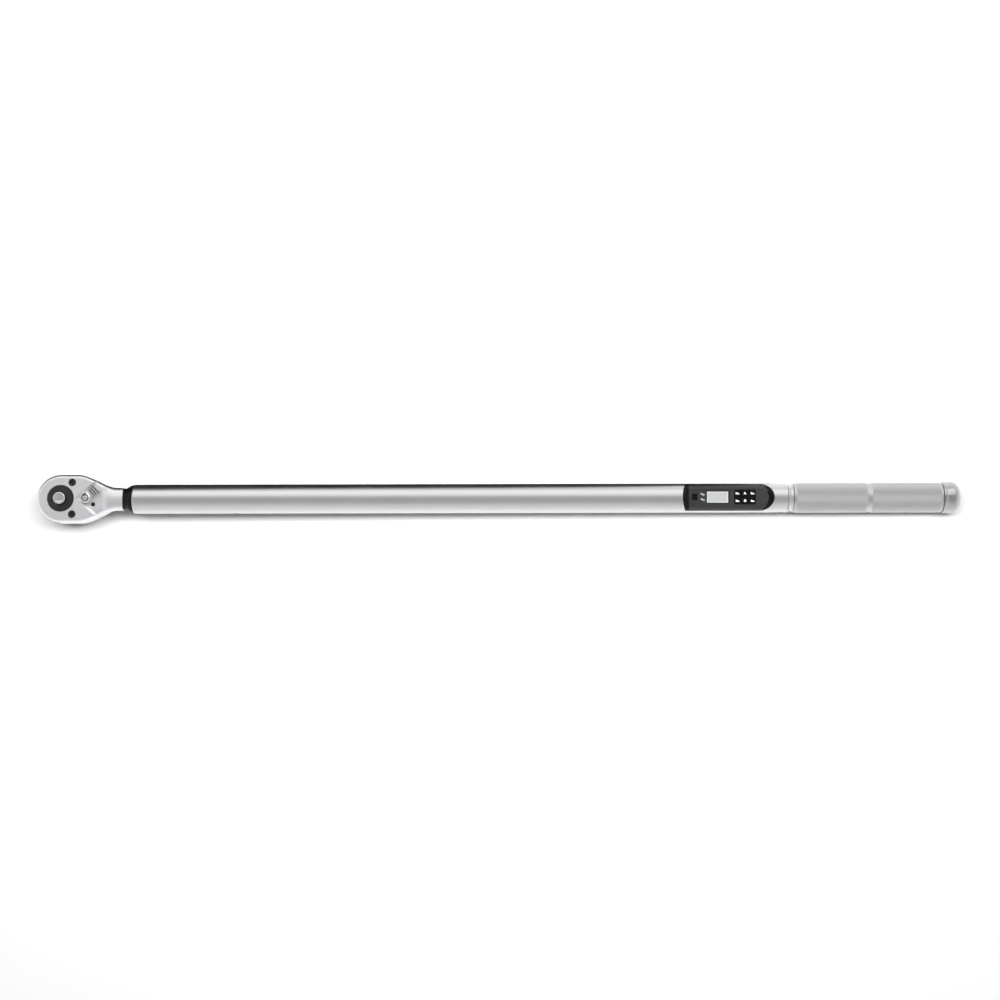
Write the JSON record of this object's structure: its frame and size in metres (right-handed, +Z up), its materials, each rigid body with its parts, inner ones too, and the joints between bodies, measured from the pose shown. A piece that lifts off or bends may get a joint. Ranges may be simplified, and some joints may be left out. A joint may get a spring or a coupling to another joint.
{
  "type": "torque wrench",
  "caption": "Long electronic ratchet torque wrench: reversible square-drive head, satin tube with inset display and keys, knurled steel grip and screw-off battery cap.",
  "frame": {"origin": "centre of the drive square's end face, which the head stands on", "axes": "+X from the drive's axis along the tube to the end cap, +Z up from the square to the lever and display, +Y to the left when looking from the head towards the grip"},
  "size_m": [1.2011, 0.0616, 0.0665],
  "materials": {
    "satin_chrome_head": "satin chromed steel, finely brushed",
    "satin_steel_tube": "satin plated steel tube, brushed lengthwise",
    "bright_chrome": "bright chrome",
    "knurled_steel": "satin plated steel with a diamond knurl",
    "black_steel": "steel with a black phosphate finish",
    "black_plastic": "black moulded plastic, finely textured",
    "black_wire": "black sleeved wire",
    "plain_steel": "plain hardened steel, ground",
    "spring_steel": "oiled spring steel",
    "aluminium": "turned aluminium",
    "bronze": "sintered bearing bronze",
    "black_rubber": "black silicone or nitrile rubber",
    "clear_window": "clear acrylic window",
    "display_grey": "light grey liquid crystal panel",
    "circuit_green": "green circuit board",
    "white_plastic": "white moulded plastic",
    "foil_amber": "amber polyimide foil",
    "battery_sleeve_grey": "plain dark sleeve",
    "gold_contact": "gold-plated brass"
  },
  "bodies": {
    "wrench_body": {"battery_1": "battery_sleeve_grey", "battery_2": "battery_sleeve_grey", "battery_3": "battery_sleeve_grey", "battery_lead": "black_wire", "battery_plug": "white_plastic", "battery_tube": "black_plastic", "beam_pin": "plain_steel", "board_screw_1": "plain_steel", "board_screw_2": "plain_steel", "buzzer": "black_plastic", "contact_insulator": "white_plastic", "cover_screw_1": "black_steel", "cover_screw_2": "black_steel", "display_housing": "black_plastic", "display_window": "clear_window", "drive_cover": "satin_chrome_head", "front_bush": "bronze", "front_contact": "gold_contact", "gauge_lead": "black_wire", "gauge_plug": "white_plastic", "grip_sleeve": "knurled_steel", "handle_adapter": "aluminium", "handle_pin": "plain_steel", "head_body": "satin_chrome_head", "indicator_light_1": "white_plastic", "indicator_light_2": "white_plastic", "key_mat": "black_rubber", "lcd_panel": "display_grey", "main_board": "circuit_green", "main_tube": "satin_steel_tube", "neck_collar": "black_plastic", "pawl_pin": "plain_steel", "strain_gauge_1": "foil_amber", "strain_gauge_2": "foil_amber", "strain_gauge_3": "foil_amber", "strain_gauge_4": "foil_amber", "torque_beam": "plain_steel", "tube_pin": "plain_steel"},
    "drive": {"drive_gear": "black_steel", "release_spring": "spring_steel"},
    "release_button": {"release_button": "bright_chrome"},
    "detent_ball": {"detent_ball": "plain_steel"},
    "reverse_lever": {"reverse_lever": "bright_chrome", "lever_plunger": "plain_steel", "plunger_spring": "spring_steel", "lever_clip": "spring_steel", "lever_seal": "black_rubber", "lever_detent_ball": "plain_steel", "lever_detent_spring": "spring_steel"},
    "pawl": {"pawl": "plain_steel"},
    "key_1": {"key_1": "black_rubber"},
    "key_2": {"key_2": "black_rubber"},
    "key_3": {"key_3": "black_rubber"},
    "key_4": {"key_4": "black_rubber"},
    "key_5": {"key_5": "black_rubber"},
    "key_6": {"key_6": "black_rubber"},
    "cap_contact": {"contact_disc": "gold_contact", "contact_spring": "spring_steel"},
    "end_cap": {"end_cap": "bright_chrome", "cap_seal": "black_rubber"}
  },
  "joints": [
    {"name": "drive_turn", "type": "hinge", "parent": "wrench_body", "child": "drive", "pos_m": [0, 0, 0], "axis": [0, 0, 1], "continuous": true},
    {"name": "button_press", "type": "slide", "parent": "drive", "child": "release_button", "axis": [0, 0, 1], "range_m": [-0.0035, 0], "stiffness_N_per_m": 600, "springref_m": 0.002, "deforming": ["release_spring"]},
    {"name": "ball_slide", "type": "slide", "parent": "drive", "child": "detent_ball", "axis": [1, 0, 0], "range_m": [-0.00111, 0]},
    {"name": "lever_turn", "type": "hinge", "parent": "wrench_body", "child": "reverse_lever", "pos_m": [0.033, 0, 0], "axis": [0, 0, 1], "range_deg": [-84, 0]},
    {"name": "pawl_rock", "type": "hinge", "parent": "wrench_body", "child": "pawl", "pos_m": [0.02425, 0, 0], "axis": [0, 0, 1], "range_deg": [0, 9.01]},
    {"name": "key_1_press", "type": "slide", "parent": "wrench_body", "child": "key_1", "axis": [0, 0, 1], "range_m": [-0.0006, 0], "stiffness_N_per_m": 400, "springref_m": 0.0006},
    {"name": "key_2_press", "type": "slide", "parent": "wrench_body", "child": "key_2", "axis": [0, 0, 1], "range_m": [-0.0006, 0], "stiffness_N_per_m": 400, "springref_m": 0.0006},
    {"name": "key_3_press", "type": "slide", "parent": "wrench_body", "child": "key_3", "axis": [0, 0, 1], "range_m": [-0.0006, 0], "stiffness_N_per_m": 400, "springref_m": 0.0006},
    {"name": "key_4_press", "type": "slide", "parent": "wrench_body", "child": "key_4", "axis": [0, 0, 1], "range_m": [-0.0006, 0], "stiffness_N_per_m": 400, "springref_m": 0.0006},
    {"name": "key_5_press", "type": "slide", "parent": "wrench_body", "child": "key_5", "axis": [0, 0, 1], "range_m": [-0.0006, 0], "stiffness_N_per_m": 400, "springref_m": 0.0006},
    {"name": "key_6_press", "type": "slide", "parent": "wrench_body", "child": "key_6", "axis": [0, 0, 1], "range_m": [-0.0006, 0], "stiffness_N_per_m": 400, "springref_m": 0.0006},
    {"name": "cap_travel", "type": "slide", "parent": "wrench_body", "child": "cap_contact", "axis": [1, 0, 0], "range_m": [0, 0.01051]},
    {"name": "cap_unscrew", "type": "hinge", "parent": "cap_contact", "child": "end_cap", "pos_m": [1.14, 0, 0.041], "axis": [1, 0, 0], "range_deg": [0, 2520]}
  ],
  "couplings": [
    {"joint": "ball_slide", "follows": "button_press", "ratio": 0.31429},
    {"joint": "pawl_rock", "follows": "lever_turn", "ratio": -0.10714},
    {"joint": "cap_travel", "follows": "cap_unscrew", "m_per_rad": 0.00023873}
  ]
}
